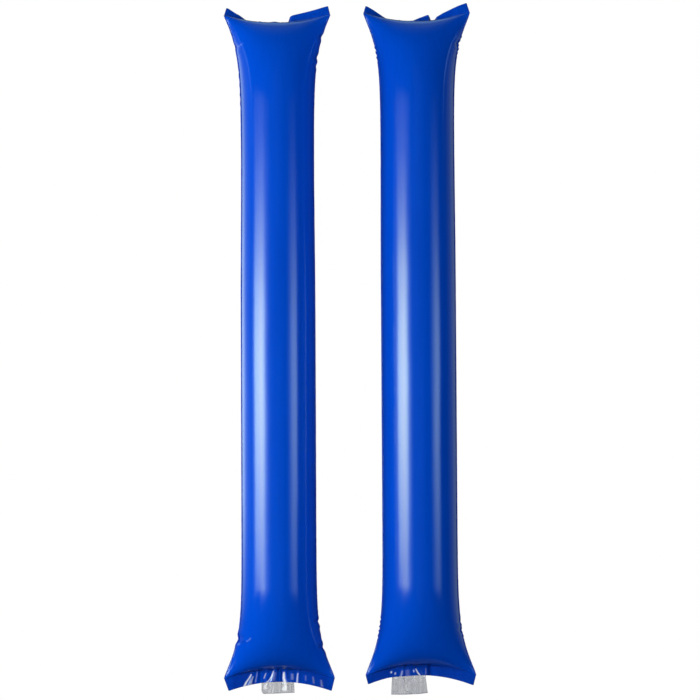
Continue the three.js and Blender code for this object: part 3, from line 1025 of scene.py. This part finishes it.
def drum_light(name):
    def build(m, x, y, z):
        angle = m.math("MULTIPLY", m.math("ARCTAN2", x, z), 180 / math.pi)
        colour = profile(m, angle, -120, 120, [(a, tint(v)) for a, v in ROUND[name]], 13.5)
        along = m.add("ShaderNodeRGBToBW")
        m.link(profile(m, y, -0.7, 0.7, ALONG, 1.0), along.inputs[0])
        # the box on the left stops short at its valve end
        low = m.math("MULTIPLY", m.math("SUBTRACT", -0.21, y), 14.0, clamp=True)
        edge = m.math("MULTIPLY", m.math("SUBTRACT", -50.0, angle), 0.07, clamp=True)
        kept = m.math("SUBTRACT", 1.0, m.math("MULTIPLY", low, edge))
        return colour, m.math("MULTIPLY", m.math("MULTIPLY", along.outputs[0], kept), 13.5)

    verts, faces = [], []
    angles = np.radians(np.arange(-108, 93, 6))
    for a in angles:
        for y in (-0.62, 0.52):
            verts.append((math.sin(a) * DRUM, y, math.cos(a) * DRUM))
    for k in range(len(angles) - 1):
        faces.append((2 * k, 2 * k + 1, 2 * k + 3, 2 * k + 2))
    ob = stage_mesh(f"soft_boxes_{name}", verts, faces, emitter(f"soft_boxes_{name}", build), (STICKS[name]["at"][0] / 1000, 0, 0.031))
    only(ob, glossy=True)
    ob.light_linking.receiver_collection = LIT[name]


for name in STICKS:
    drum_light(name)


# what the film's undersides and rims mirror: the table, bright to the left of the pair
def table_light(m, x, y, z):
    def level(t, lo, hi, stops, top):
        n = m.add("ShaderNodeRGBToBW")
        m.link(profile(m, t, lo, hi, stops, top), n.inputs[0])
        return m.math("MULTIPLY", n.outputs[0], top)

    left = level(x, -0.70, 0.30, [(-0.66, 0.08), (-0.347, 0.24), (-0.207, 0.34), (-0.157, 0.75), (-0.126, 1.6), (-0.108, 1.0), (-0.098, 0.5), (-0.085, 0.15), (-0.06, 0.02), (0.0, 0.0)], 2.0)
    along = level(y, -0.5, 0.5, [(-0.29, 0.0), (-0.235, 0.06), (-0.181, 0.42), (-0.129, 0.84), (-0.043, 1.0), (0.086, 0.80), (0.172, 0.55), (0.215, 0.48), (0.26, 0.55), (0.30, 0.65), (0.35, 0.40), (0.43, 0.05)], 1.0)
    right = level(x, -0.10, 0.60, [(-0.02, 0.0), (0.02, 0.015), (0.08, 0.05), (0.105, 0.16), (0.131, 0.26), (0.162, 0.18), (0.25, 0.08), (0.5, 0.0)], 0.3)
    near = level(y, -1.28, -0.28, [(-1.28, 0.0), (-0.60, 0.017), (-0.33, 0.027), (-0.295, 0.027), (-0.285, 0.0)], 0.2)
    side = m.math("ADD", 0.05, m.math("MULTIPLY", 0.95, m.math("MULTIPLY", m.math("ADD", x, 0.02), 12.0, clamp=True)), clamp=True)
    total = m.math("ADD", m.math("MULTIPLY", left, along), right)
    total = m.math("ADD", total, m.math("MULTIPLY", near, side))
    rgb = m.add("ShaderNodeRGB")
    rgb.outputs[0].default_value = (1.0, 1.33, 1.2, 1)
    return rgb.outputs[0], total


low = stage_mesh("table_in_reflections", [(-3, -3, 0), (3, -3, 0), (3, 3, 0), (-3, 3, 0)], [(0, 1, 2, 3)], emitter("table_in_reflections", table_light, False), (0, 0, -0.002))
only(low, glossy=True)


# the pale backdrop beyond the far ends: it lies on the table and rises at its back
def backdrop(m, x, y, z):
    flat = profile(m, y, 0.0, 3.0, [(0.30, 0.0), (0.315, 0.2), (0.328, 0.5), (0.345, 0.55), (0.36, 0.48), (0.39, 0.32), (0.45, 0.24), (0.545, 0.20), (0.8, 0.18), (2.9, 0.17)], 0.6)
    rise = profile(m, z, 0.0, 2.0, [(0.0, 0.17), (0.35, 0.125), (0.83, 0.05), (1.35, 0.0)], 0.17)
    a, b = m.add("ShaderNodeRGBToBW"), m.add("ShaderNodeRGBToBW")
    m.link(flat, a.inputs[0])
    m.link(rise, b.inputs[0])
    rgb = m.add("ShaderNodeRGB")
    rgb.outputs[0].default_value = (1.0, 1.8, 2.8, 1)
    return rgb.outputs[0], m.math("MULTIPLY", m.math("MULTIPLY", a.outputs[0], b.outputs[0]), 0.6)


back = stage_mesh("backdrop_in_reflections", [(-3, 0.29, 0), (3, 0.29, 0), (3, 2.95, 0), (-3, 2.95, 0), (3, 2.95, 1.6), (-3, 2.95, 1.6)], [(0, 1, 2, 3), (3, 2, 4, 5)], emitter("backdrop_in_reflections", backdrop), (0, 0, -0.0018))
only(back, glossy=True)


# light that comes back up from the table
def bounce(m, x, y, z):
    return profile(m, x, -0.6, 0.6, [(-0.5, 0.37), (-0.05, 0.37), (0.03, 0.33), (0.11, 0.22), (0.4, 0.17)], 1.0), m.math("ADD", 1.0, 0.0)


up = stage_mesh("table_bounce", [(-3, -3, 0), (3, -3, 0), (3, 3, 0), (-3, 3, 0)], [(0, 1, 2, 3)], emitter("table_bounce", bounce, False), (0, 0, -0.0008))
only(up, diffuse=True)


# the white ground that the camera sees
def white(m, x, y, z):
    rgb = m.add("ShaderNodeRGB")
    rgb.outputs[0].default_value = (1, 1, 1, 1)
    return rgb.outputs[0], m.math("ADD", 1.0, 0.0)


ground = stage_mesh("white_ground", [(-6, -6, 0), (6, -6, 0), (6, 6, 0), (-6, 6, 0)], [(0, 1, 2, 3)], emitter("white_ground", white, False), (0, 0, -0.0004))
only(ground, camera=True, transmission=True)


def area(name, loc, size, level, lit):
    """Soft light seen only by the diffuse part of one stick's film; level is what it adds straight on."""
    target = Vector((STICKS[lit]["at"][0] / 1000, 0, 0.03))
    loc = Vector(loc) + Vector((target.x, 0, 0))
    li = bpy.data.lights.new(name, "AREA")
    li.shape = "RECTANGLE"
    li.size, li.size_y = size
    li.energy = level * math.pi ** 2 * (loc - target).length_squared
    ob = bpy.data.objects.new(name, li)
    scene.collection.objects.link(ob)
    ob.location = loc
    ob.rotation_euler = (target - loc).to_track_quat("-Z", "Y").to_euler()
    ob.visible_glossy = False
    ob.visible_camera = False
    ob.light_linking.receiver_collection = LIT[lit]


for name, left, right, top in (("left", 1.36, 0.39, 0.17), ("right", 1.13, 0.29, 0.23)):
    area(f"soft_left_{name}", (-1.5, 0.05, 1.05), (0.9, 2.2), left, name)
    area(f"soft_right_{name}", (0.7, 0.05, 0.5), (0.4, 0.5), right, name)
    area(f"soft_top_{name}", (0.0, 0.3, 2.5), (1.2, 2.4), top, name)
